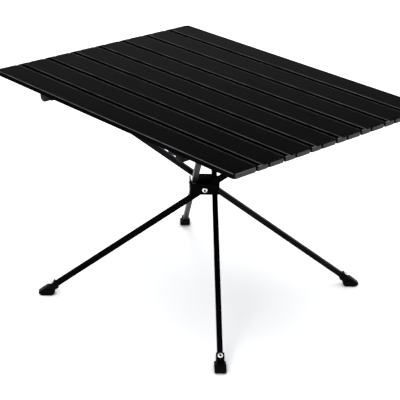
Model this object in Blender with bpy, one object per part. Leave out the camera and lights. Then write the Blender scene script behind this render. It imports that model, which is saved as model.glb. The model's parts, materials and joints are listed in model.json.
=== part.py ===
"""Folding camp table: a roll-up top of aluminium slats on a pinwheel frame of four square tubes.

Metres, +Z up. X runs along the slats and Y across them, from the front edge to the back. The origin is on the
ground, under the middle of the top and of the frame's hub. Each tube is a leg below the hub and an arm above it.
It lies flat on one side of the hub and turns on a pin through its middle.
"""

import math

import bmesh
import bpy
from mathutils import Matrix, Vector

# General fits
running_gap = 0.0003
arc_step = math.radians(24)

# Top
top_height = 0.365
slat_count = 8
slat_width = 0.0445
slat_gap = 0.010
slat_length = 0.5564
slat_thickness = 0.0082
slat_wall = 0.0012
slat_web = 0.0012
slat_edge_radius = 0.0008

# Hinge between two slats: a bead in a socket, open upward so that the top rolls up with its face inside
hinge_drop = 0.0046
bead_radius = 0.0017
bead_neck = 0.0014
socket_wall = 0.0012
socket_arm = 0.0024
socket_opening_start = math.radians(112)
socket_opening_end = math.radians(204)

# End caps of the slats
cap_thickness = 0.003
cap_gap = 0.0022
cap_far_inset = 0.00295
cap_slit_depth = 0.002
cap_lobe_width = 0.0225
cap_plug_length = 0.008
cap_corner_radius = 0.0022
cap_far_radius = 0.0012
cap_setback = 0.0002

# Cross rails under the top
rail_side = 0.010
rail_wall = 0.0014
rail_edge_radius = 0.001
rail_end_inset = 0.0086
rail_past_ball = 0.01962

# Clip on each end of a rail
clip_width = 0.017
clip_depth = 0.0158
clip_length = 0.022
clip_end_wall = 0.002
clip_lobe_width = 0.017
clip_lobe_depth = 0.0084
clip_lobe_radius = 0.005
clip_stud_radius = 0.0025
clip_stud_height = 0.0036
clip_stud_shoulder = 0.0027
clip_stud_tip_radius = 0.0018
clip_stud_inset = 0.006

# Frame
tube_side = 0.0088
tube_wall = 0.0011
tube_edge_radius = 0.0008
pivot_height = 0.1965
arm_run = 0.20017

# Hub
core_side = 0.0252
core_above_pins = 0.0140
core_below_pins = 0.0118
core_edge = 0.0012
core_bevel = 0.0006
bracket_thickness = 0.0022
bracket_above_pins = 0.0103
bracket_below_pins = 0.0086
bracket_tail = 0.013
bracket_corner = 0.003

# Pivot pins
pin_radius = 0.0025
pin_head_radius = 0.0045
pin_head_height = 0.0022
pin_head_rim = 0.0007
pin_end_from_axis = 0.0045

# Rivets through the feet and the arm tips
rivet_radius = 0.0016
rivet_head_radius = 0.00425
rivet_head_height = 0.0020
rivet_head_rim = 0.0007
rivet_dome_radius = 0.0033
rivet_dome_height = 0.0017
rivet_eye_lip = 0.0021
rivet_eye_edge = 0.0018
rivet_eye_depth = 0.0010
rivet_tail_radius = 0.0026
rivet_tail_height = 0.0014
rivet_tail_edge = 0.0007

# Feet. The sole's corners are (distance from the toe or heel, height) pairs from the ground up
collar_side = 0.0128
collar_edge_radius = 0.0015
foot_collar_start = 0.0232
foot_collar_end = 0.0335
foot_tube_end = 0.0150
foot_rivet_place = 0.0280
foot_neck_height = 0.0044
foot_neck_slope = 0.0012
shoe_width = 0.0186
shoe_heel = 0.0241
shoe_toe = 0.0045
shoe_toe_corners = ((0.0080, 0.0), (0.0040, 0.0014), (0.0016, 0.0032), (0.0004, 0.0052))
shoe_heel_corners = ((0.0062, 0.0), (0.0036, 0.0010), (0.0011, 0.0030), (0.0, 0.0055))
shoe_heel_height = 0.0097
shoe_ridge = 0.0062
shoe_ridge_start = 0.0010
shoe_ridge_end = 0.0190
shoe_shoulder = 0.0040
shoe_shoulder_start = 0.0022
shoe_shoulder_end = 0.0145
shoe_bevel = 0.0024
shoe_inset = 0.0004
foot_bevel = 0.0005

# Arm tips and the seats that they rest in
tip_ball_radius = 0.0055
tip_ball_drop = 0.0238
tip_neck_radius = 0.0035
tip_neck_length = 0.0085
tip_end_wall = 0.002
tip_collar_length = 0.017
tip_rivet_place = 0.0085
seat_length = 0.020
seat_wall = 0.0025
seat_reach = 0.0265
seat_heel_depth = 0.0026
seat_top_slope = 0.004
seat_under_ball = 0.0027
seat_rim = 0.0005
seat_ball_gap = 0.0004

# Values that follow from the ones above
slat_bottom = top_height - slat_thickness
slat_pitch = slat_width + slat_gap
hinge_back = slat_gap / 2
socket_inner = bead_radius + running_gap
socket_outer = socket_inner + socket_wall
top_width = (slat_count - 1) * slat_pitch + slat_width
top_front = -top_width / 2
rail_top = slat_bottom - running_gap
rail_centre = rail_top - rail_side / 2
rail_length = top_width - 2 * rail_end_inset
tube_offset = core_side / 2 + running_gap + tube_side / 2
tip_ball_height = top_height - tip_ball_drop
leg_slope = math.atan2(tip_ball_height - pivot_height, arm_run)
leg_length = pivot_height / math.sin(leg_slope)
turn = math.atan2(tube_offset, arm_run)
ball_place = arm_run / math.cos(leg_slope)
ball_side = math.hypot(arm_run, tube_offset) / math.sqrt(2)
rail_spread = ball_side + rail_past_ball
tip_collar_top = ball_place - tip_neck_length
bracket_inner = tube_offset + tube_side / 2 + running_gap
bracket_outer = bracket_inner + bracket_thickness
hub_place = Vector((0, 0, pivot_height))
clip_front = -rail_length / 2
clip_stud_offset = clip_width / 2 + clip_lobe_width / 2
rail_places = {"left": -rail_spread, "right": rail_spread}


def clear_scene():
    for obj in list(bpy.data.objects):
        bpy.data.objects.remove(obj)


def surface(name, colour, roughness, metallic):
    """A plain finish for one kind of piece."""
    found = bpy.data.materials.new(name)
    found.use_nodes = True
    shader = found.node_tree.nodes["Principled BSDF"]
    shader.inputs["Base Color"].default_value = (*colour, 1)
    shader.inputs["Roughness"].default_value = roughness
    shader.inputs["Metallic"].default_value = metallic
    return found


def add_object(name, mesh, finish, parent=None, place=None):
    """One piece of the table. place is its matrix under its parent, or in the world without one."""
    obj = bpy.data.objects.new(name, mesh)
    bpy.context.scene.collection.objects.link(obj)
    if not mesh.materials:
        mesh.materials.append(finish)
    obj.parent = parent
    obj.matrix_local = place or Matrix.Identity(4)
    return obj


def add_pivot(name, place, parent=None):
    """An empty on a joint's axis, which carries the pieces that turn on it."""
    pivot = bpy.data.objects.new(name, None)
    bpy.context.scene.collection.objects.link(pivot)
    pivot.empty_display_size = 0.02
    pivot.parent = parent
    pivot.matrix_local = place
    return pivot


def arc(centre, radius, start, end):
    """Points on an arc, both ends among them. It runs backwards where end is less than start."""
    steps = max(2, math.ceil(abs(end - start) / arc_step))
    angles = [start + (end - start) * i / steps for i in range(steps + 1)]
    return [(centre[0] + radius * math.cos(a), centre[1] + radius * math.sin(a)) for a in angles]


def rounded_box(low, high, radii):
    """An anticlockwise rectangle. radii are those of the corners low-low, high-low, high-high and low-high."""
    corners = [(low[0], low[1]), (high[0], low[1]), (high[0], high[1]), (low[0], high[1])]
    points = []
    for i, (corner, radius) in enumerate(zip(corners, radii)):
        if radius == 0:
            points.append(corner)
            continue
        inward = (1 if i in (0, 3) else -1, 1 if i in (0, 1) else -1)
        centre = (corner[0] + inward[0] * radius, corner[1] + inward[1] * radius)
        start = math.radians(180 + 90 * i)
        points += arc(centre, radius, start, start + math.radians(90))
    return points


def cleaned(mesh):
    """Joins points that coincide and turns every face outward."""
    shape = bmesh.new()
    shape.from_mesh(mesh)
    bmesh.ops.remove_doubles(shape, verts=shape.verts, dist=1e-6)
    bmesh.ops.recalc_face_normals(shape, faces=shape.faces)
    shape.to_mesh(mesh)
    shape.free()
    return mesh


def solid_prism(name, outline, low, high):
    """A prism with no holes and one whole face at each end."""
    shape = bmesh.new()
    base = [shape.verts.new((x, y, low)) for x, y in outline]
    roof = [shape.verts.new((x, y, high)) for x, y in outline]
    shape.faces.new(base)
    shape.faces.new(roof)
    for i in range(len(outline)):
        j = (i + 1) % len(outline)
        shape.faces.new((base[i], base[j], roof[j], roof[i]))
    mesh = bpy.data.meshes.new(name)
    shape.to_mesh(mesh)
    shape.free()
    return cleaned(mesh)


def extruded(name, outlines, low, high):
    """A prism from low to high along Z. The first outline is its edge and the others are holes right through."""
    if len(outlines) == 1:
        return solid_prism(name, outlines[0], low, high)
    curve = bpy.data.curves.new(name, "CURVE")
    curve.dimensions = "2D"
    curve.fill_mode = "BOTH"
    curve.extrude = (high - low) / 2
    for outline in outlines:
        spline = curve.splines.new("POLY")
        spline.points.add(len(outline) - 1)
        for point, (x, y) in zip(spline.points, outline):
            point.co = (x, y, 0, 1)
        spline.use_cyclic_u = True
    holder = bpy.data.objects.new(name, curve)
    mesh = bpy.data.meshes.new_from_object(holder)
    bpy.data.objects.remove(holder)
    bpy.data.curves.remove(curve)
    mesh.transform(Matrix.Translation((0, 0, (low + high) / 2)))
    return cleaned(mesh)


def turned(name, profile, sides):
    """A round piece about Z. profile is (radius, height) pairs from its bottom to its top, both on the axis."""
    shape = bmesh.new()
    rings = []
    for radius, height in profile:
        if radius == 0:
            rings.append([shape.verts.new((0, 0, height))])
            continue
        angles = [2 * math.pi * i / sides for i in range(sides)]
        rings.append([shape.verts.new((radius * math.cos(a), radius * math.sin(a), height)) for a in angles])
    for lower, upper in zip(rings, rings[1:]):
        for i in range(sides):
            j = (i + 1) % sides
            corners = [lower[i % len(lower)], lower[j % len(lower)], upper[j % len(upper)], upper[i % len(upper)]]
            shape.faces.new(list(dict.fromkeys(corners)))
    mesh = bpy.data.meshes.new(name)
    shape.to_mesh(mesh)
    shape.free()
    cleaned(mesh)
    mesh.shade_smooth()
    mesh.set_sharp_from_angle(angle=math.radians(35))
    return mesh


def block(name, low, high):
    """A box between two corners."""
    outline = [(low[0], low[1]), (high[0], low[1]), (high[0], high[1]), (low[0], high[1])]
    return extruded(name, [outline], low[2], high[2])


def moved(mesh, matrix):
    """A copy of a mesh under a matrix. A mirroring matrix has its faces turned back outward."""
    copy = mesh.copy()
    copy.transform(matrix)
    if matrix.determinant() < 0:
        copy.flip_normals()
    return copy


def combined(name, base, steps, bevel=0):
    """The base mesh after each (operation, mesh) in steps. A bevel, if any, comes first."""
    holder = bpy.data.objects.new(name, base)
    bpy.context.scene.collection.objects.link(holder)
    tools = []
    if bevel:
        edge = holder.modifiers.new("Edges", "BEVEL")
        edge.width = bevel
        edge.segments = 1
        edge.limit_method = "ANGLE"
        edge.angle_limit = math.radians(50)
    for operation, mesh in steps:
        tool = bpy.data.objects.new(name + "_tool", mesh)
        bpy.context.scene.collection.objects.link(tool)
        tools.append(tool)
        change = holder.modifiers.new(operation, "BOOLEAN")
        change.operation = operation
        change.object = tool
    graph = bpy.context.evaluated_depsgraph_get()
    mesh = bpy.data.meshes.new_from_object(holder.evaluated_get(graph))
    mesh.name = name
    for obj in [holder, *tools]:
        bpy.data.objects.remove(obj)
    return cleaned(mesh)


def aligned(direction, up=Vector((0, 0, 1))):
    """A turn that takes +Z to a direction, with +Y as near to up as it can be."""
    z = Vector(direction).normalized()
    x = up.cross(z)
    x = Vector((1, 0, 0)) if x.length < 1e-6 else x.normalized()
    y = z.cross(x)
    return Matrix((x, y, z)).transposed().to_4x4()


# Profiles are drawn in (y, z) or (x, z) and then stood up: one turn takes drawing x, y and depth to world axes.
along_x = Matrix(((0, 0, 1, 0), (1, 0, 0, 0), (0, 1, 0, 0), (0, 0, 0, 1)))
along_y = Matrix(((1, 0, 0, 0), (0, 0, -1, 0), (0, 1, 0, 0), (0, 0, 0, 1)))


# Slats
def slat_hollows():
    """The two hollows in a slat's section, from its near edge, with its face at 0."""
    middle = slat_width / 2
    low, high = -slat_thickness + slat_wall, -slat_wall
    spans = [(slat_wall, middle - slat_web / 2), (middle + slat_web / 2, slat_width - slat_wall)]
    return [((a, low), (b, high)) for a, b in spans]


def slat_outline(has_socket, has_bead):
    """A slat's section, anticlockwise: its far side holds the bead and its near side the socket."""
    edge = slat_edge_radius
    points = [(0, -slat_thickness), (slat_width, -slat_thickness)]
    if has_bead:
        centre = (slat_width + hinge_back, -hinge_drop)
        lean = math.asin(bead_neck / 2 / bead_radius)
        points.append((slat_width, -hinge_drop - bead_neck / 2))
        points += arc(centre, bead_radius, math.pi + lean, 3 * math.pi - lean)
        points.append((slat_width, -hinge_drop + bead_neck / 2))
    points += arc((slat_width - edge, -edge), edge, 0, math.pi / 2)
    points += arc((edge, -edge), edge, math.pi / 2, math.pi)
    if has_socket:
        centre = (-hinge_back, -hinge_drop)
        lean = math.asin(socket_arm / 2 / socket_outer)
        far_end = socket_opening_end - 2 * math.pi
        points.append((0, -hinge_drop + socket_arm / 2))
        points += arc(centre, socket_outer, lean, socket_opening_start)
        points += arc(centre, socket_inner, socket_opening_start, far_end)
        points += arc(centre, socket_outer, far_end, -lean)
        points.append((0, -hinge_drop - socket_arm / 2))
    return points


def stud_hole(x, y):
    """A cutter for the hole in a slat's bottom wall that takes the stud of a clip."""
    radius = clip_stud_radius + running_gap
    low, high = -slat_thickness - slat_wall, -slat_thickness + 2 * slat_wall
    hole = turned("stud_hole", [(0, low), (radius, low), (radius, high), (0, high)], 16)
    return moved(hole, Matrix.Translation((x, y, 0)))


def slat_mesh(name, has_socket, has_bead, stud_places=()):
    """One slat. stud_places are its stud holes in (x, y) from its near edge."""
    outlines = [slat_outline(has_socket, has_bead)]
    outlines += [rounded_box(low, high, (0, 0, 0, 0)) for low, high in slat_hollows()]
    bar = moved(extruded(name, outlines, -slat_length / 2, slat_length / 2), along_x)
    if not stud_places:
        return bar
    return combined(name, bar, [("DIFFERENCE", stud_hole(x, y)) for x, y in stud_places])


# End caps
def cap_mesh(name, has_lobe):
    """The cap of a slat's right end, with its inner face at x = 0 and the slat's near edge at y = 0."""
    far = slat_width - cap_far_inset
    near = far + cap_gap - slat_pitch if has_lobe else 0
    low, high = (near, -slat_thickness), (far, -cap_setback)
    radii = (cap_corner_radius, cap_corner_radius, cap_far_radius, cap_corner_radius)
    plate = extruded(name, [rounded_box(low, high, radii)], 0, cap_thickness)
    plate = moved(plate, along_x)
    steps = []
    for (a, b), (c, d) in slat_hollows():
        inner_low = (-cap_plug_length, a + running_gap, b + running_gap)
        inner_high = (cap_thickness / 2, min(c, far) - running_gap, d - running_gap)
        steps.append(("UNION", block("plug", inner_low, inner_high)))
    if has_lobe:
        slit = near + cap_lobe_width
        cut_low = (cap_thickness - cap_slit_depth, slit - cap_gap / 2, -2 * slat_thickness)
        cut_high = (2 * cap_thickness, slit + cap_gap / 2, slat_thickness)
        steps.append(("DIFFERENCE", block("slit", cut_low, cut_high)))
    return combined(name, plate, steps)


# Rails and their clips
def rail_mesh():
    half = rail_side / 2
    inner = half - rail_wall
    outlines = [rounded_box((-half, -half), (half, half), (rail_edge_radius,) * 4)]
    outlines.append(rounded_box((-inner, -inner), (inner, inner), (0,) * 4))
    tube = extruded("cross_rail", outlines, -rail_length / 2 + clip_end_wall, rail_length / 2 - clip_end_wall)
    return moved(tube, along_y)


def clip_mesh():
    """The clip of a rail's front end. Its front face is at y = 0 and its top at z = 0, over the rail's middle."""
    half = clip_width / 2
    side = half + clip_lobe_width
    points = arc((0, half - clip_depth), half, math.pi, 1.5 * math.pi)
    points += [p for p in arc((0, half - clip_depth), half, 1.5 * math.pi, 2 * math.pi) if p[1] < -clip_lobe_depth]
    points.append((half, -clip_lobe_depth))
    corner = (side - clip_lobe_radius, clip_lobe_radius - clip_lobe_depth)
    points += arc(corner, clip_lobe_radius, 1.5 * math.pi, 2 * math.pi)
    points += [(side, 0), (-half, 0)]
    body = moved(extruded("rail_clip", [points], -clip_length, 0), along_y)
    room = rail_side / 2 + running_gap
    low = (-room, clip_end_wall - running_gap, -rail_side - running_gap)
    pocket = block("pocket", low, (room, 2 * clip_length, running_gap))
    stud_profile = [(0, -rail_wall), (clip_stud_radius, -rail_wall)]
    stud_profile += [(clip_stud_radius, clip_stud_shoulder), (clip_stud_tip_radius, clip_stud_height)]
    stud_profile.append((0, clip_stud_height))
    stud = moved(turned("stud", stud_profile, 16), Matrix.Translation((clip_stud_offset, clip_stud_inset, 0)))
    return combined("rail_clip", body, [("DIFFERENCE", pocket), ("UNION", stud)])


# Frame tubes, in each tube's own axes: x down the leg, y out from the hub, z up square to the leg
def tube_mesh():
    half = tube_side / 2
    inner = half - tube_wall
    outlines = [rounded_box((-half, -half), (half, half), (tube_edge_radius,) * 4)]
    outlines.append(rounded_box((-inner, -inner), (inner, inner), (0,) * 4))
    low, high = -(tip_collar_top - tip_end_wall), leg_length - foot_tube_end
    bar = moved(extruded("frame_tube", outlines, low, high), along_x)
    hole = pin_radius + running_gap
    pin_hole = turned("pin_hole", [(0, -tube_side), (hole, -tube_side), (hole, tube_side), (0, tube_side)], 20)
    cuts = [("DIFFERENCE", moved(pin_hole, aligned((0, 1, 0))))]
    for place in (leg_length - foot_rivet_place, -(tip_collar_top - tip_rivet_place)):
        cuts.append(("DIFFERENCE", rivet_hole(place)))
    return combined("frame_tube", bar, cuts)


def rivet_hole(place):
    """A cutter for a rivet's hole, square to the tube, at a place along it."""
    radius = rivet_radius + running_gap
    reach = collar_side
    hole = turned("rivet_hole", [(0, -reach), (radius, -reach), (radius, reach), (0, reach)], 16)
    return moved(hole, Matrix.Translation((place, 0, 0)))


def rivet_mesh():
    """A rivet with a domed head that has an eye in it, and a flatter tail. Its middle is at the tube's middle."""
    seat = collar_side / 2 + running_gap
    tail = -seat - rivet_tail_height
    profile = [(0, tail), (rivet_tail_radius - rivet_tail_edge, tail), (rivet_tail_radius, tail + rivet_tail_edge)]
    profile += [(rivet_tail_radius, -seat), (rivet_radius, -seat), (rivet_radius, seat)]
    profile += [(rivet_head_radius, seat), (rivet_head_radius, seat + rivet_head_rim)]
    profile += [(rivet_dome_radius, seat + rivet_dome_height), (rivet_eye_lip, seat + rivet_head_height)]
    profile += [(rivet_radius, seat + rivet_eye_edge), (rivet_radius, seat + rivet_eye_depth)]
    profile.append((0, seat + rivet_eye_depth))
    return turned("rivet", profile, 20)


def pin_mesh(name, seat):
    """A pivot pin on +Z. seat is how far its head lies from the hub's axis, and the head is domed."""
    profile = [(0, pin_end_from_axis), (pin_radius, pin_end_from_axis), (pin_radius, seat)]
    profile += [(pin_head_radius, seat), (pin_head_radius, seat + pin_head_rim)]
    for angle in (30, 60):
        a = math.radians(angle)
        rise = pin_head_rim + (pin_head_height - pin_head_rim) * math.sin(a)
        profile.append((pin_head_radius * math.cos(a), seat + rise))
    profile.append((0, seat + pin_head_height))
    return turned(name, profile, 24)


# Feet, drawn upright: x outward from where the tube's centre line meets the ground, z up
def on_leg(along, above):
    """A point in (x, z) that lies this far back along the leg and this far above its centre line."""
    cos, sin = math.cos(leg_slope), math.sin(leg_slope)
    return (-along * cos + above * sin, along * sin + above * cos)


def sole(inset):
    """The lower edge of a foot from its heel round to its toe, drawn in by inset."""
    heel = [(-shoe_heel + inset + x, z + inset) for x, z in reversed(shoe_heel_corners)]
    toe = [(shoe_toe - inset - x, z + inset) for x, z in shoe_toe_corners]
    return heel + toe


def foot_mesh():
    """A foot: a spine as wide as the collar round the tube, and a wider and lower shoe about the spine."""
    half = collar_side / 2
    ridge = [on_leg(shoe_ridge_start, shoe_ridge), on_leg(shoe_ridge_end, shoe_ridge)]
    neck = [on_leg(shoe_ridge_end + foot_neck_slope, foot_neck_height)]
    neck.append(on_leg(foot_collar_start - foot_neck_slope, foot_neck_height))
    collar = [on_leg(foot_collar_start, half), on_leg(foot_collar_end, half), on_leg(foot_collar_end, -half)]
    heel = shoe_heel - shoe_inset
    heel_top = (-heel, heel * math.tan(leg_slope) - half / math.cos(leg_slope))
    upper = [heel_top, *sole(shoe_inset), *ridge, *neck, *collar]
    spine = moved(extruded("foot", [upper], -half, half), along_y)
    shoulder = [on_leg(shoe_shoulder_start, shoe_shoulder), on_leg(shoe_shoulder_end, shoe_shoulder)]
    lower = [*sole(0), *shoulder, (-shoe_heel, shoe_heel_height)]
    shoe = moved(extruded("shoe", [lower], -shoe_width / 2, shoe_width / 2), along_y)
    shoe = combined("shoe", shoe, [], shoe_bevel)
    room = tube_side / 2 + running_gap
    to_tube = Matrix.Translation((leg_length, 0, 0)) @ Matrix.Rotation(-leg_slope, 4, "Y")
    whole = moved(combined("foot", spine, [("UNION", shoe)], foot_bevel), to_tube)
    low = (leg_length - 2 * foot_collar_end, -room, -room)
    pocket = block("pocket", low, (leg_length - foot_tube_end + running_gap, room, room))
    rivet = rivet_hole(leg_length - foot_rivet_place)
    return combined("foot", whole, [("DIFFERENCE", pocket), ("DIFFERENCE", rivet)])


# Arm tips, in the tube's axes like the tube
def tip_mesh():
    half = collar_side / 2
    outline = rounded_box((-half, -half), (half, half), (collar_edge_radius,) * 4)
    collar_low = -tip_collar_top
    collar = moved(extruded("arm_tip", [outline], collar_low, collar_low + tip_collar_length), along_x)
    ball = [(0, -tip_ball_radius)]
    ball += [(tip_ball_radius * math.cos(a), tip_ball_radius * math.sin(a)) for a in tip_latitudes()]
    ball.append((0, tip_ball_radius))
    knob = moved(turned("ball", ball, 20), Matrix.Translation((-ball_place, 0, 0)) @ aligned((-1, 0, 0)))
    neck_low = collar_low - tip_neck_length
    neck_high = tip_neck_length + tip_end_wall - running_gap
    neck_profile = [(0, 0), (tip_neck_radius, 0), (tip_neck_radius, neck_high), (0, neck_high)]
    neck = moved(turned("neck", neck_profile, 16), Matrix.Translation((neck_low, 0, 0)) @ aligned((1, 0, 0)))
    room = tube_side / 2 + running_gap
    pocket = block("pocket", (collar_low + tip_end_wall - running_gap, -room, -room), (0, room, room))
    rivet = rivet_hole(-(tip_collar_top - tip_rivet_place))
    steps = [("UNION", neck), ("UNION", knob), ("DIFFERENCE", pocket), ("DIFFERENCE", rivet)]
    return combined("arm_tip", collar, steps)


def tip_latitudes():
    return [math.radians(a) for a in (-67.5, -45, -22.5, 0, 22.5, 45, 67.5)]


# Seats of the arm tips, drawn from the rail's middle: x towards the hub, z from the rail's top
def seat_mesh(name, ball, arm_direction, inward):
    """The seat round a rail that takes the ball of an arm tip. ball is the ball's centre in the world."""
    rail_x = ball.x - inward * rail_past_ball
    room = rail_side / 2 + running_gap
    outer = room + seat_wall
    under = rail_top - ball.z + seat_under_ball
    outline = [(-outer, 0), (-outer, -rail_side - seat_wall), (-seat_heel_depth, -under), (seat_reach, -under)]
    outline += [(seat_reach, -rail_side / 2), (seat_reach - seat_top_slope, 0)]
    body = moved(extruded(name, [outline], -seat_length / 2, seat_length / 2), along_y)
    body = moved(body, Matrix.Diagonal((inward, 1, 1, 1)))
    body = moved(body, Matrix.Translation((rail_x, ball.y, rail_top)))
    low = (rail_x - room, ball.y - seat_length, rail_top - rail_side - running_gap)
    channel = block("channel", low, (rail_x + room, ball.y + seat_length, rail_top + seat_length))
    cup_radius = tip_ball_radius + seat_ball_gap
    cup_profile = [(0, -cup_radius)]
    cup_profile += [(cup_radius * math.cos(a), cup_radius * math.sin(a)) for a in tip_latitudes()]
    cup_profile.append((0, cup_radius))
    to_arm = Matrix.Translation(ball) @ aligned(arm_direction)
    cup = moved(turned("cup", cup_profile, 20), to_arm)
    span = 2 * seat_length
    mouth = moved(block("mouth", (-span, -span, -2 * span), (span, span, seat_rim)), to_arm)
    steps = [("DIFFERENCE", channel), ("DIFFERENCE", cup), ("DIFFERENCE", mouth)]
    return combined(name, body, steps)


# Hub
def bracket_mesh():
    """The bracket in the hub's own axes: a web in front and a flange on each side, open at the back."""
    inner, outer, corner = bracket_inner, bracket_outer, bracket_corner
    points = arc((-outer + corner, -outer + corner), corner, math.pi, 1.5 * math.pi)
    points += arc((outer - corner, -outer + corner), corner, 1.5 * math.pi, 2 * math.pi)
    small = corner - bracket_thickness
    points += [(outer, bracket_tail), (inner, bracket_tail)]
    points += arc((inner - small, -inner + small), small, 0, -math.pi / 2)
    points += arc((-inner + small, -inner + small), small, -math.pi / 2, -math.pi)
    points += [(-inner, bracket_tail), (-outer, bracket_tail)]
    plate = extruded("hub_bracket", [points], -bracket_below_pins, bracket_above_pins)
    hole = pin_radius + running_gap
    profile = [(0, core_side / 2), (hole, core_side / 2), (hole, 2 * outer), (0, 2 * outer)]
    bore = turned("bore", profile, 20)
    sides = [(0, -1, 0), (1, 0, 0), (-1, 0, 0)]
    return combined("hub_bracket", plate, [("DIFFERENCE", moved(bore, aligned(side))) for side in sides])


def core_mesh():
    """The hub's core block, with a blind bore in each side for a pivot pin."""
    half = core_side / 2
    outline = rounded_box((-half, -half), (half, half), (core_edge,) * 4)
    bar = extruded("hub_core", [outline], -core_below_pins, core_above_pins)
    hole = pin_radius + running_gap
    bottom = pin_end_from_axis - running_gap
    profile = [(0, bottom), (hole, bottom), (hole, core_side), (0, core_side)]
    bore = turned("bore", profile, 20)
    sides = [(0, -1, 0), (1, 0, 0), (0, 1, 0), (-1, 0, 0)]
    return combined("hub_core", bar, [("DIFFERENCE", moved(bore, aligned(side))) for side in sides], core_bevel)


def build_top():
    """Slats, each on a pivot at its near hinge, and their end caps."""
    dark = surface("anodised_aluminium", (0.010, 0.010, 0.011), 0.42, 0.9)
    grey = surface("cap_plastic", (0.035, 0.035, 0.037), 0.5, 0.0)
    front_line = clip_front + clip_stud_inset - top_front
    stud_lines = (rail_places["left"] + clip_stud_offset, rail_places["right"] - clip_stud_offset)
    front_studs = [(x, front_line) for x in stud_lines]
    back_studs = [(x, slat_width - front_line) for x in stud_lines]
    meshes = {
        "first": slat_mesh("slat_first", False, True, front_studs),
        "middle": slat_mesh("slat_middle", True, True),
        "last": slat_mesh("slat_last", True, False, back_studs),
    }
    plain_cap, lobed_cap = cap_mesh("cap_plain", False), cap_mesh("cap_lobed", True)
    mirror = Matrix.Diagonal((-1, 1, 1, 1))
    caps = {
        ("right", False): plain_cap,
        ("right", True): lobed_cap,
        ("left", False): moved(plain_cap, mirror),
        ("left", True): moved(lobed_cap, mirror),
    }
    parent = None
    for number in range(1, slat_count + 1):
        step = slat_pitch if parent else top_front - hinge_back
        height = 0 if parent else top_height - hinge_drop
        parent = add_pivot(f"slat_{number}_hinge", Matrix.Translation((0, step, height)), parent)
        kind = "first" if number == 1 else "last" if number == slat_count else "middle"
        face = Matrix.Translation((0, hinge_back, hinge_drop))
        add_object(f"slat_{number}", meshes[kind], dark, parent, face)
        for side, sign in (("left", -1), ("right", 1)):
            place = face @ Matrix.Translation((sign * (slat_length / 2 + running_gap), 0, 0))
            add_object(f"end_cap_{side}_{number}", caps[side, number > 1], grey, parent, place)


def build_rails():
    """Rails and the clips at their ends. The shallow lobes of the clips all point to the table's middle."""
    dark = surface("rail_aluminium", (0.010, 0.010, 0.011), 0.4, 0.9)
    plastic = surface("clip_plastic", (0.012, 0.012, 0.012), 0.5, 0.0)
    rail, clip = rail_mesh(), clip_mesh()
    mirrored = moved(clip, Matrix.Diagonal((-1, 1, 1, 1)))
    half_turn = Matrix.Rotation(math.pi, 4, "Z")
    for side, x in rail_places.items():
        add_object(f"cross_rail_{side}", rail, dark, None, Matrix.Translation((x, 0, rail_centre)))
        front = Matrix.Translation((x, clip_front, rail_top))
        back = Matrix.Translation((x, -clip_front, rail_top)) @ half_turn
        add_object(f"rail_clip_front_{side}", clip if side == "left" else mirrored, plastic, None, front)
        add_object(f"rail_clip_back_{side}", mirrored if side == "left" else clip, plastic, None, back)


def tube_place(number):
    """The matrix of a tube's pivot in the world. Tube 1 has its foot at the front right, and the rest follow
    anticlockwise."""
    heading = math.radians(-45 + 90 * (number - 1)) + turn
    across = Vector((-math.sin(heading), math.cos(heading), 0))
    place = hub_place + tube_offset * across
    turned_down = Matrix.Rotation(heading, 4, "Z") @ Matrix.Rotation(leg_slope, 4, "Y")
    return Matrix.Translation(place) @ turned_down


def build_frame():
    """Four tubes with their feet, tips, rivets and pivot pins."""
    dark = surface("tube_aluminium", (0.006, 0.006, 0.006), 0.4, 0.8)
    plastic = surface("foot_plastic", (0.010, 0.010, 0.010), 0.55, 0.0)
    bright = surface("rivet_steel", (0.8, 0.8, 0.8), 0.25, 1.0)
    tube, foot, tip, rivet = tube_mesh(), foot_mesh(), tip_mesh(), rivet_mesh()
    long_pin = pin_mesh("pin_long", bracket_outer + running_gap)
    short_pin = pin_mesh("pin_short", bracket_inner)
    for number in range(1, 5):
        pivot = add_pivot(f"tube_{number}_pivot", tube_place(number))
        add_object(f"frame_tube_{number}", tube, dark, pivot)
        add_object(f"foot_{number}", foot, plastic, pivot)
        add_object(f"arm_tip_{number}", tip, plastic, pivot)
        foot_rivet = Matrix.Translation((leg_length - foot_rivet_place, 0, 0))
        tip_rivet = Matrix.Translation((-(tip_collar_top - tip_rivet_place), 0, 0))
        add_object(f"foot_rivet_{number}", rivet, bright, pivot, foot_rivet)
        add_object(f"tip_rivet_{number}", rivet, bright, pivot, tip_rivet)
        pin = short_pin if number == 2 else long_pin
        outward = Matrix.Translation(hub_place) @ aligned(tube_place(number).to_3x3() @ Vector((0, 1, 0)))
        add_object(f"pivot_pin_{number}", pin, bright, None, outward)
        ball = tube_place(number) @ Vector((-ball_place, 0, 0))
        arm_direction = tube_place(number).to_3x3() @ Vector((-1, 0, 0))
        inward = 1 if ball.x < hub_place.x else -1
        side = "left" if inward > 0 else "right"
        end = "front" if ball.y < hub_place.y else "back"
        name = f"arm_seat_{end}_{side}"
        add_object(name, seat_mesh(name, ball, arm_direction, inward), plastic)


def build_hub():
    dark = surface("hub_nylon", (0.008, 0.008, 0.008), 0.5, 0.0)
    steel = surface("bracket_steel", (0.008, 0.008, 0.008), 0.4, 0.6)
    place = Matrix.Translation(hub_place) @ Matrix.Rotation(math.radians(45) + turn, 4, "Z")
    hub = add_pivot("hub", place)
    add_object("hub_core", core_mesh(), dark, hub)
    add_object("hub_bracket", bracket_mesh(), steel, hub)


clear_scene()
build_top()
build_rails()
build_frame()
build_hub()
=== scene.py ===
"""Folding camp table, dressed: black slats with moulded caps on a pinwheel frame of four square tubes.

Metres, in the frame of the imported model. X runs along the slats, Y from the front edge to the back, and Z up
from the floor.
"""

import json
import math

import bmesh
import bpy
from mathutils import Matrix, Vector

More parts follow.
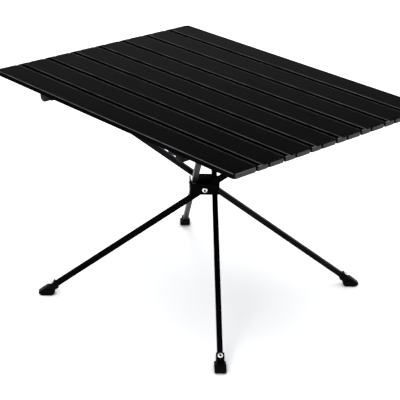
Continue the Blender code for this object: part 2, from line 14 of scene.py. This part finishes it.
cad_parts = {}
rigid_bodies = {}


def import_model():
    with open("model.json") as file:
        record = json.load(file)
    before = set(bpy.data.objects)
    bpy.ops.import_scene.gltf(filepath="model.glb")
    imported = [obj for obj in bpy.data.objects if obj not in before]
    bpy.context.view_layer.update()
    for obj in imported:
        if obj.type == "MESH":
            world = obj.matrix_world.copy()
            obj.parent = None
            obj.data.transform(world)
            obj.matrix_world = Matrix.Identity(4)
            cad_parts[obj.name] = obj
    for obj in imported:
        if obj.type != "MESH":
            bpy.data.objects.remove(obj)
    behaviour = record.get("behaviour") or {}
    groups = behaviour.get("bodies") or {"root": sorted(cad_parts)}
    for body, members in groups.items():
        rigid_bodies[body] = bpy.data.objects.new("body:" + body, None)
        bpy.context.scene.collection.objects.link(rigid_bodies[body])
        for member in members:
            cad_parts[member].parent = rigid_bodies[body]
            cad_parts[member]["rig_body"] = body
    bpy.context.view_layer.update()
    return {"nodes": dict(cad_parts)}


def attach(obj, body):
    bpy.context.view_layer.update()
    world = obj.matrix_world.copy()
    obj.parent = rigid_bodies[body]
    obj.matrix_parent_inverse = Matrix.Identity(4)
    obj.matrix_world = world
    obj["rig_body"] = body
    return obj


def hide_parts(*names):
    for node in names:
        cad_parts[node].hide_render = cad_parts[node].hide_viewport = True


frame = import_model()

# Camera. It stands at the front right, a little above the top, with a long lens, so that the slats run away to
# the left with nearly no convergence. Its place and its three directions were fitted to the feet and the slats.
camera_data = bpy.data.cameras.new("photo_camera")
camera_data.sensor_fit = "HORIZONTAL"
camera_data.sensor_width = 36
camera_data.lens = 111.5267
camera_data.clip_start = 0.05
camera_data.clip_end = 60
camera = bpy.data.objects.new("photo_camera", camera_data)
bpy.context.scene.collection.objects.link(camera)
camera_right = Vector((0.67935433, 0.73323641, 0.0290184))
camera_up = Vector((-0.31997961, 0.26041497, 0.91093199))
camera_back = Vector((0.66037168, -0.62813089, 0.41153473))
camera_matrix = Matrix((camera_right, camera_up, camera_back)).transposed().to_4x4()
camera_matrix.translation = (1.35767909, -1.29945872, 1.01609704)
camera.matrix_world = camera_matrix
bpy.context.scene.camera = camera
bpy.context.scene.view_settings.view_transform = "Standard"


# Studio. A smooth white floor under a white surround. One wide soft box hangs overhead and one stands beside
# the camera. Two stand past the table's left end: the high one gives the top a faint sheen that fades towards
# the near corner, and the low one is weak and lifts only the faces turned to it.
ambient_tint = (0.97, 0.98, 1.0, 1)
ambient_level = 0.5
backdrop_level = 1.0
floor_half = 9.0
floor_lights = 0.8
floor_shows = 2.2


def linear(hex_colour):
    """The linear RGBA of an sRGB colour such as 1c1c1e."""
    channels = [int(hex_colour[i : i + 2], 16) / 255 for i in (0, 2, 4)]
    return (*[c / 12.92 if c <= 0.04045 else ((c + 0.055) / 1.055) ** 2.4 for c in channels], 1)


def add_node(tree, kind, settings=None, links=None):
    """A node of one kind. settings are its attributes or its inputs' values, and links its inputs' sources."""
    node = tree.nodes.new(kind)
    for key, value in (settings or {}).items():
        if isinstance(key, str) and hasattr(node, key):
            setattr(node, key, value)
        else:
            node.inputs[key].default_value = value
    for key, source in (links or {}).items():
        tree.links.new(source, node.inputs[key])
    return node


def soft_box(name, place, target, width, height, power):
    """A rectangular lamp at place, turned to face target."""
    lamp = bpy.data.lights.new(name, "AREA")
    lamp.shape = "RECTANGLE"
    lamp.size = width
    lamp.size_y = height
    lamp.energy = power
    box = bpy.data.objects.new(name, lamp)
    bpy.context.scene.collection.objects.link(box)
    box.location = place
    box.rotation_euler = (Vector(target) - Vector(place)).to_track_quat("-Z", "Y").to_euler()


def seen_by_eye(tree):
    """1 on a ray that shows the surface, straight, mirrored or through glass, and 0 on one that only lights."""
    ray = add_node(tree, "ShaderNodeLightPath")
    seen = ray.outputs["Is Camera Ray"]
    for kind in ("Is Glossy Ray", "Is Transmission Ray"):
        either = add_node(tree, "ShaderNodeMath", {"operation": "MAXIMUM"}, {0: seen, 1: ray.outputs[kind]})
        seen = either.outputs[0]
    return seen


soft_box("overhead_box", (0.1, -0.1, 2.5), (0, 0, 0.2), 2.2, 2.2, 12)
soft_box("high_back_box", (-1.7, 0.5, 2.0), (0, 0, 0.25), 1.2, 1.2, 7)
soft_box("low_back_box", (-2.1, 1.9, 1.0), (-0.1, 0.1, 0.3), 1.2, 0.8, 0.6)
soft_box("camera_box", (1.1, -2.2, 1.5), (0, 0, 0.2), 1.2, 1.2, 14)

world = bpy.data.worlds.new("white_surround")
bpy.context.scene.world = world
world.use_nodes = True
surround = world.node_tree
surround.nodes.clear()
ambient = add_node(surround, "ShaderNodeBackground", {"Color": ambient_tint, "Strength": ambient_level})
backdrop = add_node(surround, "ShaderNodeBackground", {"Color": linear("ffffff"), "Strength": backdrop_level})
sides = {0: seen_by_eye(surround), 1: ambient.outputs[0], 2: backdrop.outputs[0]}
choice = add_node(surround, "ShaderNodeMixShader", {}, sides)
add_node(surround, "ShaderNodeOutputWorld", {}, {"Surface": choice.outputs[0]})

corners = [(x * floor_half, y * floor_half, 0) for x, y in ((-1, -1), (1, -1), (1, 1), (-1, 1))]
floor_mesh = bpy.data.meshes.new("studio_floor")
floor_mesh.from_pydata(corners, [], [(0, 1, 2, 3)])
floor = bpy.data.objects.new("studio_floor", floor_mesh)
bpy.context.scene.collection.objects.link(floor)
floor_finish = bpy.data.materials.new("white_floor_paint")
floor_finish.use_nodes = True
tree = floor_finish.node_tree
tree.nodes.clear()
grey = add_node(tree, "ShaderNodeMix", {2: floor_lights, 3: floor_shows}, {0: seen_by_eye(tree)})
matt = add_node(tree, "ShaderNodeBsdfDiffuse", {}, {"Color": grey.outputs[0]})
add_node(tree, "ShaderNodeOutputMaterial", {}, {"Surface": matt.outputs[0]})
floor_mesh.materials.append(floor_finish)


# Slats. Eight hollow aluminium extrusions, hinged edge to edge along their length, with a matt black coat. It
# shows faint lines along the slat and a soft cloudiness, and a painted highlight of lighter grey runs in broken
# streaks along the two long edges of the top face. The lines and the powder's grit are drawn coarser than they
# are, so that they show.
slat_pitch = 0.0545
slat_width = 0.0445
slat_front = -0.213
slat_top = 0.365
# The painted highlight fades between each two of these: distances from the slat's front edge, and heights.
near_highlight_band = (0.0002, 0.0005)
far_highlight_band = (slat_width - 0.0014, slat_width - 0.0010)
top_face = (slat_top - 0.0012, slat_top - 0.0006)
highlight_streak_size = 0.0025
highlight_streak_stretch = 12
highlight_streak_break = (0.35, 0.6)
highlight_streak_least = 0.45
coat_cloud = 0.06
coat_line = 0.0012
coat_line_depth = 0.00002
coat_grit = 0.0005
coat_grit_depth = 0.000015
coat_gloss_spread = 0.06
grit_detail = 2.0
cloud_detail = 4.0
# A pattern of clouds runs from 0 to 1 and lies almost wholly between these.
pattern_low = 0.3
pattern_high = 0.7


def finish_of(name):
    """A new material with its node tree, its shader and its texture coordinates in metres."""
    found = bpy.data.materials.new(name)
    found.use_nodes = True
    tree = found.node_tree
    place = add_node(tree, "ShaderNodeTexCoord").outputs["Object"]
    return found, tree, tree.nodes["Principled BSDF"], place


def clouds(tree, place, size, detail, stretch=(1, 1, 1), turn=None):
    """A pattern of clouds size metres across, drawn out by stretch on each axis, after a turn of the axes."""
    if turn is not None:
        place = add_node(tree, "ShaderNodeMapping", {"Rotation": turn}, {"Vector": place}).outputs[0]
    scale = tuple(1 / (size * s) for s in stretch)
    place = add_node(tree, "ShaderNodeMapping", {"Scale": scale}, {"Vector": place}).outputs[0]
    noise = add_node(tree, "ShaderNodeTexNoise", {"Scale": 1.0, "Detail": detail}, {"Vector": place})
    return noise.outputs["Fac"]


def two_tone(tree, shader, pattern, dark, light):
    """Colours the shader from one sRGB colour to another along the middle of the pattern's range."""
    ramp = add_node(tree, "ShaderNodeValToRGB", {}, {"Fac": pattern})
    for element, position, colour in zip(ramp.color_ramp.elements, (pattern_low, pattern_high), (dark, light)):
        element.position = position
        element.color = linear(colour)
    tree.links.new(ramp.outputs["Color"], shader.inputs["Base Color"])
    return ramp.outputs["Color"]


def uneven_gloss(tree, shader, pattern, low, high):
    """Takes the shader's roughness from low to high along the middle of the pattern's range."""
    settings = {"From Min": pattern_low, "From Max": pattern_high, "To Min": low, "To Max": high}
    gloss = add_node(tree, "ShaderNodeMapRange", settings, {"Value": pattern})
    tree.links.new(gloss.outputs[0], shader.inputs["Roughness"])


def raised(tree, shader, reliefs):
    """Gives the shader the relief of several (pattern, height in metres) pairs."""
    normal = None
    for pattern, height in reliefs:
        links = {"Height": pattern}
        if normal is not None:
            links["Normal"] = normal
        normal = add_node(tree, "ShaderNodeBump", {"Distance": height}, links).outputs["Normal"]
    tree.links.new(normal, shader.inputs["Normal"])


def black_metal(name, dark, light, edge, roughness, grain=(1, 1, 1), turn=None):
    """Black coated metal. It mirrors next to nothing seen square on, and edge sets how much it mirrors at a low
    angle. Fine lines run along the grain, under a powdery grit."""
    found, tree, shader, place = finish_of(name)
    shader.inputs["Metallic"].default_value = 1.0
    shader.inputs["Specular Tint"].default_value = linear(edge)
    lines = clouds(tree, place, coat_line, grit_detail, grain, turn)
    grit = clouds(tree, place, coat_grit, grit_detail)
    colour = two_tone(tree, shader, clouds(tree, place, coat_cloud, cloud_detail), dark, light)
    uneven_gloss(tree, shader, lines, roughness - coat_gloss_spread, roughness + coat_gloss_spread)
    raised(tree, shader, [(lines, coat_line_depth), (grit, coat_grit_depth)])
    return found, tree, shader, place, colour


def dress(names, finish):
    """Gives CAD nodes their finish."""
    for name in names:
        mesh = frame["nodes"][name].data
        mesh.materials.clear()
        mesh.materials.append(finish)


slat_coat, tree, shader, place, coat_colour = black_metal(
    "matt_black_slat_coat", "060607", "0b0b0c", "b7b7b7", 0.38, (60, 1, 1)
)
axes = add_node(tree, "ShaderNodeSeparateXYZ", {}, {"Vector": place})
from_front = add_node(tree, "ShaderNodeMath", {"operation": "SUBTRACT", 1: slat_front}, {0: axes.outputs["Y"]})
across = add_node(tree, "ShaderNodeMath", {"operation": "MODULO", 1: slat_pitch}, {0: from_front.outputs[0]})
highlight_streaks = clouds(tree, place, highlight_streak_size, cloud_detail, (highlight_streak_stretch, 1, 1))
masks = []
for value, (start, end), before, after in (
    (across.outputs[0], near_highlight_band, 1.0, 0.0),
    (across.outputs[0], far_highlight_band, 0.0, 1.0),
    (axes.outputs["Z"], top_face, 0.0, 1.0),
    (highlight_streaks, highlight_streak_break, highlight_streak_least, 1.0),
):
    settings = {"From Min": start, "From Max": end, "To Min": before, "To Max": after}
    masks.append(add_node(tree, "ShaderNodeMapRange", settings, {"Value": value}).outputs[0])
near_edge_highlight, far_edge_highlight, on_top, highlight_broken = masks
painted_highlight = add_node(tree, "ShaderNodeMath", {"operation": "MAXIMUM"}, {0: near_edge_highlight, 1: far_edge_highlight})
for mask in (on_top, highlight_broken):
    painted_highlight = add_node(tree, "ShaderNodeMath", {"operation": "MULTIPLY"}, {0: painted_highlight.outputs[0], 1: mask})
# The grey base colour along both long edges of the top is a painted highlight, broken into streaks.
highlight_grey = {"data_type": "RGBA", 7: linear("727274")}
coat_and_highlight = add_node(tree, "ShaderNodeMix", highlight_grey, {0: painted_highlight.outputs[0], 6: coat_colour})
tree.links.new(coat_and_highlight.outputs[2], shader.inputs["Base Color"])
dress([f"slat_{n}" for n in range(1, 9)], slat_coat)


# End caps. Plastic mouldings pushed into the slats' ends, each with a slit that parts the lobe over the hinge
# from the lobe over the slat. Their faces are painted by the way they turn, as light and shade: the end faces
# are a lighter grey, as painted light, and coarse from the mould, the sides, slits and undersides are black, as
# painted shade, and the tops take the slats' dark coat, as painted shade. The rims of the front slat's caps
# carry a painted highlight in light grey.
mould_cloud = 0.012
mould_pit = 0.0006
mould_pit_depth = 0.00004
mould_gloss_below = 0.06
mould_gloss_above = 0.08
smooth_angle = math.radians(40)
# The lean of a lobe's face, as a part of its normal, from which it counts as side, underside, rim or flat top.
side_lean = 0.3
under_lean = 0.5
rim_lean = 0.3
top_lean = 0.9
cap_corner = 0.0022
cap_edge = 0.0011
cap_edge_steps = 4
cap_ease = 0.0003
cap_gap = 0.0022
cap_lobe = 0.0225
cap_far = 0.04155
cap_low = slat_top - 0.0082
cap_high = slat_top - 0.0002
# Places along X: the plug's inner end, the plate's back, the slit's floor and the end face.
cap_inner = 0.2705
cap_back = 0.2785
cap_floor = 0.2796
cap_face = 0.2815
lobe_root = 0.0002
plug_reach = (0.036, 0.001)
plug_inset = 0.0012
plug_corner = 0.0004


def moulded(name, dark, light, level, roughness):
    """Moulded plastic: soft clouds of colour under the pits of the mould, drawn coarse enough to show."""
    found, tree, shader, place = finish_of(name)
    shader.inputs["Specular IOR Level"].default_value = level
    pits = clouds(tree, place, mould_pit, grit_detail)
    two_tone(tree, shader, clouds(tree, place, mould_cloud, cloud_detail), dark, light)
    uneven_gloss(tree, shader, pits, roughness - mould_gloss_below, roughness + mould_gloss_above)
    raised(tree, shader, [(pits, mould_pit_depth)])
    return found


cap_plastic_painted_lit = moulded("painted_lit_grey_cap_plastic", "232323", "2e2e2d", 0.32, 0.5)
cap_painted_shade = moulded("painted_shade_cap_sides", "040404", "070707", 0.05, 0.6)
cap_painted_highlight = moulded("painted_highlight_cap_rim", "5a5a58", "727270", 0.5, 0.35)


def smoothed(mesh):
    """Shades a mesh smooth, with an edge wherever it turns by more than the smooth angle."""
    for face in mesh.polygons:
        face.use_smooth = True
    mesh.set_sharp_from_angle(angle=smooth_angle)


def outline(low, high, radius, inset=0.0, steps=5):
    """Points round a rectangle in Y and Z with rounded corners, after an inset of all its sides."""
    points = []
    for corner, (y_side, z_side) in enumerate(((0, 0), (1, 0), (1, 1), (0, 1))):
        y = (low[0] + radius, high[0] - radius)[y_side]
        z = (low[1] + radius, high[1] - radius)[z_side]
        for i in range(steps + 1):
            a = math.pi * (1 + corner / 2 + i / steps / 2)
            points.append((y + (radius - inset) * math.cos(a), z + (radius - inset) * math.sin(a)))
    return points


def lofted(shape, sections):
    """Joins outlines at several places along X, closed at both ends. sections are (x, points) pairs."""
    rings = [[shape.verts.new((x, *point)) for point in points] for x, points in sections]
    count = len(rings[0])
    for first, second in zip(rings, rings[1:]):
        for i in range(count):
            shape.faces.new((first[i], first[(i + 1) % count], second[(i + 1) % count], second[i]))
    shape.faces.new(reversed(rings[0]))
    shape.faces.new(rings[-1])


def cap_finish(normal, has_painted_rim):
    """Which finish a face of a lobe takes, painted by the way it turns: 0 end face, lighter grey as painted
    light, 1 top, the slats' dark coat as painted shade, 2 sides, slit and underside, black as painted shade, 3
    rim with a painted highlight.
    """
    if abs(normal.y) > side_lean or normal.z < -under_lean:
        return 2
    if normal.z > top_lean:
        return 1
    if normal.z > rim_lean:
        return 3 if has_painted_rim else 1
    return 0


def cap_piece(node, side, number):
    """One cap: a plate with its plug inside the slat, both black as painted shade, and one or two lobes with
    rounded edges.
    """
    near = slat_front + (number - 1) * slat_pitch
    far = near + cap_far
    near = near if number == 1 else far + cap_gap - slat_pitch
    shape = bmesh.new()
    plug_low = (far - plug_reach[0], cap_low + plug_inset)
    plug = outline(plug_low, (far - plug_reach[1], cap_high - plug_inset), plug_corner)
    lofted(shape, [(cap_inner, plug), (cap_back, plug)])
    plate = outline((near, cap_low), (far, cap_high), cap_corner)
    lofted(shape, [(cap_back, plate), (cap_floor, plate)])
    lobes = [(near + cap_ease, far - cap_ease)]
    if number > 1:
        slit = near + cap_lobe
        slit_half = cap_gap / 2
        lobes = [(near + cap_ease, slit - slit_half - cap_ease), (slit + slit_half + cap_ease, far - cap_ease)]
    for low, high in lobes:
        sections = [(cap_floor - lobe_root, outline((low, cap_low), (high, cap_high), cap_corner))]
        for i in range(cap_edge_steps + 1):
            a = math.pi / 2 * i / cap_edge_steps
            ring = outline((low, cap_low), (high, cap_high), cap_corner, cap_edge * (1 - math.cos(a)))
            sections.append((cap_face - cap_edge * (1 - math.sin(a)), ring))
        lofted(shape, sections)
    if side == "left":
        bmesh.ops.transform(shape, matrix=Matrix.Diagonal((-1, 1, 1, 1)), verts=shape.verts)
    bmesh.ops.recalc_face_normals(shape, faces=shape.faces)
    for face in shape.faces:
        # Faces off the lobes are black as painted shade, and each face of a lobe is painted lighter or darker
        # by the way it turns.
        on_lobe = abs(face.calc_center_median().x) > cap_floor + lobe_root / 2
        face.material_index = cap_finish(face.normal, number == 1) if on_lobe else 2
    mesh = bpy.data.meshes.new(node + "_moulding")
    shape.to_mesh(mesh)
    shape.free()
    smoothed(mesh)
    for finish in (cap_plastic_painted_lit, slat_coat, cap_painted_shade, cap_painted_highlight):
        mesh.materials.append(finish)
    piece = bpy.data.objects.new(node + "_moulding", mesh)
    bpy.context.scene.collection.objects.link(piece)
    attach(piece, frame["nodes"][node]["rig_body"])
    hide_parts(node)


for number in range(1, 9):
    for side in ("left", "right"):
        cap_piece(f"end_cap_{side}_{number}", side, number)


# Cross rails. Two square aluminium tubes that lie under the slats near their ends, anodised black. The coat is
# soft and dark, and shows the lines of the extrusion along their length.
rail_coat = black_metal("black_anodised_rail", "0b0b0c", "0f0f10", "c0c0c0", 0.38, (1, 60, 1))[0]
dress(["cross_rail_left", "cross_rail_right"], rail_coat)


# Rail clips and arm seats. Mouldings in black nylon with a slight shine and rounded edges. The clips are pushed
# on the rails' ends and hold the end slats, and the seats are pressed on the rails and take the arms' tips.
clip_nylon = moulded("black_clip_nylon", "050505", "080808", 0.04, 0.42)
clip_round = 0.0005
seat_round = 0.0004
weld_distance = 2e-6
flat_angle = math.radians(2)
hard_angle = math.radians(30)


def softened(node, width, finish):
    """A copy of a CAD node with its hard edges rounded to width, as moulding or pressing leaves them, which
    replaces the node."""
    source = frame["nodes"][node]
    shape = bmesh.new()
    shape.from_mesh(source.data)
    bmesh.ops.remove_doubles(shape, verts=shape.verts, dist=weld_distance)
    bmesh.ops.dissolve_limit(shape, angle_limit=flat_angle, verts=shape.verts, edges=shape.edges)
    hard = [e for e in shape.edges if len(e.link_faces) == 2 and e.calc_face_angle(0) > hard_angle]
    bmesh.ops.bevel(
        shape, geom=hard, offset=width, offset_type="OFFSET", segments=2, profile=0.5, affect="EDGES",
        clamp_overlap=True,
    )
    mesh = bpy.data.meshes.new(node + "_soft")
    shape.to_mesh(mesh)
    shape.free()
    smoothed(mesh)
    mesh.materials.append(finish)
    piece = bpy.data.objects.new(node + "_soft", mesh)
    bpy.context.scene.collection.objects.link(piece)
    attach(piece, source["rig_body"])
    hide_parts(node)
    return piece


for end in ("front", "back"):
    for side in ("left", "right"):
        softened(f"rail_clip_{end}_{side}", clip_round, clip_nylon)
        softened(f"arm_seat_{end}_{side}", seat_round, clip_nylon)


# Frame tubes. Four straight square aluminium tubes, anodised black, each a leg below the hub and an arm above.
# The lines of the extrusion run along each tube, so the pattern's axes are turned to it. The tubes share one
# coat, but each is given its own lighter or darker colours and stronger or weaker sheen, as painted light and
# shade for the way it is lit: each row gives a dark and a light colour and the sheen.
pivot_height = 0.1965
arm_run = 0.20017
ball_rise = 0.1447
leg_slope = math.atan2(ball_rise, arm_run)
tube_offset = 0.0173
pinwheel_turn = math.radians(4.94)
# Each tube's colours and sheen here are painted light and shade.
tube_coats_painted_light = {
    1: ("08080a", "0e0e0f", "bcbcbc"),
    2: ("0e0e10", "161618", "c8c8c8"),
    3: ("08080a", "0e0e0f", "cfcfcf"),
    4: ("040405", "070708", "b0b0b0"),
}


def tube_heading(number):
    """The direction in which a tube's leg runs, seen from above, as an angle from +X. The first leg runs to the
    front right, and the rest follow anticlockwise."""
    return math.radians(90 * (number - 1) - 45) + pinwheel_turn


for number in range(1, 5):
    to_world = Matrix.Rotation(tube_heading(number), 3, "Z") @ Matrix.Rotation(leg_slope, 3, "Y")
    to_tube = to_world.transposed().to_euler("XYZ")
    coat = black_metal(f"painted_light_black_tube_{number}", *tube_coats_painted_light[number], 0.34, (50, 1, 1), to_tube)[0]
    dress([f"frame_tube_{number}"], coat)


# Feet and arm tips. Mouldings in black nylon, pushed over the tubes' ends and riveted. They have a fine texture
# and a low shine, and the feet are rounded at the toe and the heel, so that they don't dig in.
sole_half = 0.0093
spine_half = 0.0064
toe_end = 0.0045
toe_middle = 0.0036
toe_droop = 0.20
heel_end = -0.0241
heel_reach = 1.01
# The length along the foot and the depth across it that each rounding takes.
toe_round = (0.0070, 0.0048)
heel_round = (0.0036, 0.0026)
round_steps = 6
cut_tolerance = 1e-6
foot_round = 0.0006
tip_round = 0.0004
foot_nylon = moulded("black_foot_nylon", "020202", "040404", 0.04, 0.32)


def rounded_foot(number):
    """A foot with softened edges whose sole is also rounded at its toe and heel, seen from above."""
    piece = softened(f"foot_{number}", foot_round, foot_nylon)
    foot_place = (pivot_height / math.tan(leg_slope), tube_offset, 0)
    to_world = Matrix.Rotation(tube_heading(number), 4, "Z") @ Matrix.Translation(foot_place)
    shape = bmesh.new()
    shape.from_mesh(piece.data)
    shape.transform(to_world.inverted())
    for i in range(round_steps + 1):
        reach = 1 - math.sin(math.pi / 2 * i / round_steps)
        for x in (toe_end - toe_round[0] * reach, heel_end + heel_round[0] * reach):
            parts = [*shape.verts, *shape.edges, *shape.faces]
            bmesh.ops.bisect_plane(
                shape, geom=parts, dist=cut_tolerance, plane_co=(x, 0, 0), plane_no=(1, 0, 0)
            )
    for vert in shape.verts:
        toe = (vert.co.x - toe_end + toe_round[0]) / toe_round[0]
        heel = (heel_end + heel_round[0] - vert.co.x) / heel_round[0]
        if toe > 0:
            bend = 1 - math.sqrt(max(0, 1 - toe * toe))
            vert.co.y *= 1 - toe_round[1] / sole_half * bend
            vert.co.z += (toe_middle - vert.co.z) * toe_droop * bend
        elif 0 < heel < heel_reach and abs(vert.co.y) > spine_half:
            bend = 1 - math.sqrt(max(0, 1 - heel * heel))
            share = (abs(vert.co.y) - spine_half) / (sole_half - spine_half)
            vert.co.y -= math.copysign(heel_round[1] * bend * share, vert.co.y)
    shape.transform(to_world)
    shape.to_mesh(piece.data)
    shape.free()
    smoothed(piece.data)


for number in range(1, 5):
    rounded_foot(number)
    softened(f"arm_tip_{number}", tip_round, foot_nylon)


# Hub block. A nylon moulding with a blind hole in each side for a pivot pin. It is deep black with almost no
# shine, and the mould leaves its edges rounded.
hub_nylon = moulded("black_hub_nylon", "040404", "060606", 0.004, 0.5)
hub_round = 0.0005
softened("hub_core", hub_round, hub_nylon)


# Hub bracket. Steel strip bent round three sides of the hub and held by the pivot pins. It is painted black,
# which leaves a soft grey sheen at a low angle, and its cut edges are rounded.
bracket_coat = black_metal("black_painted_bracket", "040405", "070708", "acacac", 0.36)[0]
bracket_round = 0.0003
softened("hub_bracket", bracket_round, bracket_coat)


# Rivets and pivot pins. Bright zinc-plated steel, faintly mottled. The rivets are rolled eyelets whose hole,
# and whose tail under the tube, are painted black as shade, and the pins have a low dome with a small socket in
# it, also painted black as shade. Profiles are (radius, height) points, and the heights of a head start at the
# face that it sits on.
plating_mark = 0.0008
plating_mark_depth = 0.00001
plating_detail = 3.0
plating_gloss_below = 0.06
plating_gloss_above = 0.08
leg_length = pivot_height / math.sin(leg_slope)
arm_length = math.hypot(arm_run, ball_rise)
foot_rivet_place = 0.0280
tip_rivet_place = 0.0170
rivet_seat = 0.0067
eyelet_tail = [(0, 0.0014), (0.0019, 0.0014), (0.0024, 0.0011), (0.0026, 0.0007), (0.0026, 0), (0.0016, 0)]
eyelet_head = [
    (0.0016, 0), (0.00425, 0), (0.00425, 0.0004), (0.0041, 0.0009), (0.0037, 0.0014), (0.0031, 0.0018),
    (0.0025, 0.0020), (0.0021, 0.0019), (0.0018, 0.0015), (0.0017, 0.0009), (0.0016, -0.0011), (0, -0.0011),
]
eyelet_profile = [(r, -rivet_seat - z) for r, z in eyelet_tail] + [(r, rivet_seat + z) for r, z in eyelet_head]
# The tail's bands and the hole's wall and floor are painted black as shade.
eyelet_painted_shade = (*range(len(eyelet_tail) - 1), len(eyelet_profile) - 3, len(eyelet_profile) - 2)
pin_seats = {1: 0.0245, 2: 0.0220, 3: 0.0245, 4: 0.0245}
pin_shank = [(0, 0.0045), (0.0025, 0.0045)]
pin_head = [
    (0.0045, 0), (0.0045, 0.0006), (0.00435, 0.0010), (0.0039, 0.0014), (0.0033, 0.0018), (0.0026, 0.0021),
    (0.0020, 0.0022), (0.0018, 0.0020), (0.0017, 0.0008), (0, 0.0008),
]


def bright_metal(name, dark, light, roughness):
    """Bright plated steel, mottled in colour and gloss. The marks are drawn coarse enough to show."""
    found, tree, shader, place = finish_of(name)
    shader.inputs["Metallic"].default_value = 1.0
    marks = clouds(tree, place, plating_mark, plating_detail)
    two_tone(tree, shader, marks, dark, light)
    uneven_gloss(tree, shader, marks, roughness - plating_gloss_below, roughness + plating_gloss_above)
    raised(tree, shader, [(marks, plating_mark_depth)])
    return found


bright_steel = bright_metal("bright_zinc_steel", "d8d8da", "ededef", 0.22)
painted_shade_black = moulded("painted_shade_in_holes_and_under", "030303", "060606", 0.05, 0.7)


def turned(node, suffix, body, profile, place, shaded_rings, steps=48):
    """A round fastener turned about +Z from its profile and put at place, which replaces a node. The bands that
    start at one of the shaded rings are painted black as shade."""
    shape = bmesh.new()
    rings = []
    for radius, height in profile:
        if radius == 0:
            rings.append([shape.verts.new((0, 0, height))])
            continue
        angles = [2 * math.pi * i / steps for i in range(steps)]
        rings.append([shape.verts.new((radius * math.cos(a), radius * math.sin(a), height)) for a in angles])
    for ring, (first, second) in enumerate(zip(rings, rings[1:])):
        for i in range(steps):
            j = (i + 1) % steps
            loop = [first[i % len(first)], first[j % len(first)]]
            loop += [second[j % len(second)], second[i % len(second)]]
            face = shape.faces.new(list(dict.fromkeys(loop)))
            face.material_index = 1 if ring in shaded_rings else 0
    bmesh.ops.recalc_face_normals(shape, faces=shape.faces)
    mesh = bpy.data.meshes.new(node + suffix)
    shape.to_mesh(mesh)
    shape.free()
    mesh.transform(place)
    smoothed(mesh)
    mesh.materials.append(bright_steel)
    mesh.materials.append(painted_shade_black)
    piece = bpy.data.objects.new(node + suffix, mesh)
    bpy.context.scene.collection.objects.link(piece)
    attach(piece, body)
    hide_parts(node)


hub_middle = Matrix.Translation((0, 0, pivot_height))
for number in range(1, 5):
    turn = Matrix.Rotation(tube_heading(number), 4, "Z") @ Matrix.Rotation(leg_slope, 4, "Y")
    outward = turn.to_3x3() @ Vector((0, 1, 0))
    tube =hub_middle @ Matrix.Translation(tube_offset * outward) @ turn
    rivets = {
        f"foot_rivet_{number}": leg_length - foot_rivet_place,
        f"tip_rivet_{number}": tip_rivet_place - arm_length,
    }
    for node, along in rivets.items():
        place = tube @ Matrix.Translation((along, 0, 0))
        turned(node, "_eyelet", f"leg_{number}", eyelet_profile, place, eyelet_painted_shade)
    seat = pin_seats[number]
    pin_profile = [*pin_shank, (pin_shank[-1][0], seat)] + [(r, seat + z) for r, z in pin_head]
    # The socket's wall and floor are painted black as shade.
    pin_painted_shade = (len(pin_profile) - 3, len(pin_profile) - 2)
    place = hub_middle @ outward.to_track_quat("Z", "Y").to_matrix().to_4x4()
    turned(f"pivot_pin_{number}", "_head", "hub", pin_profile, place, pin_painted_shade)
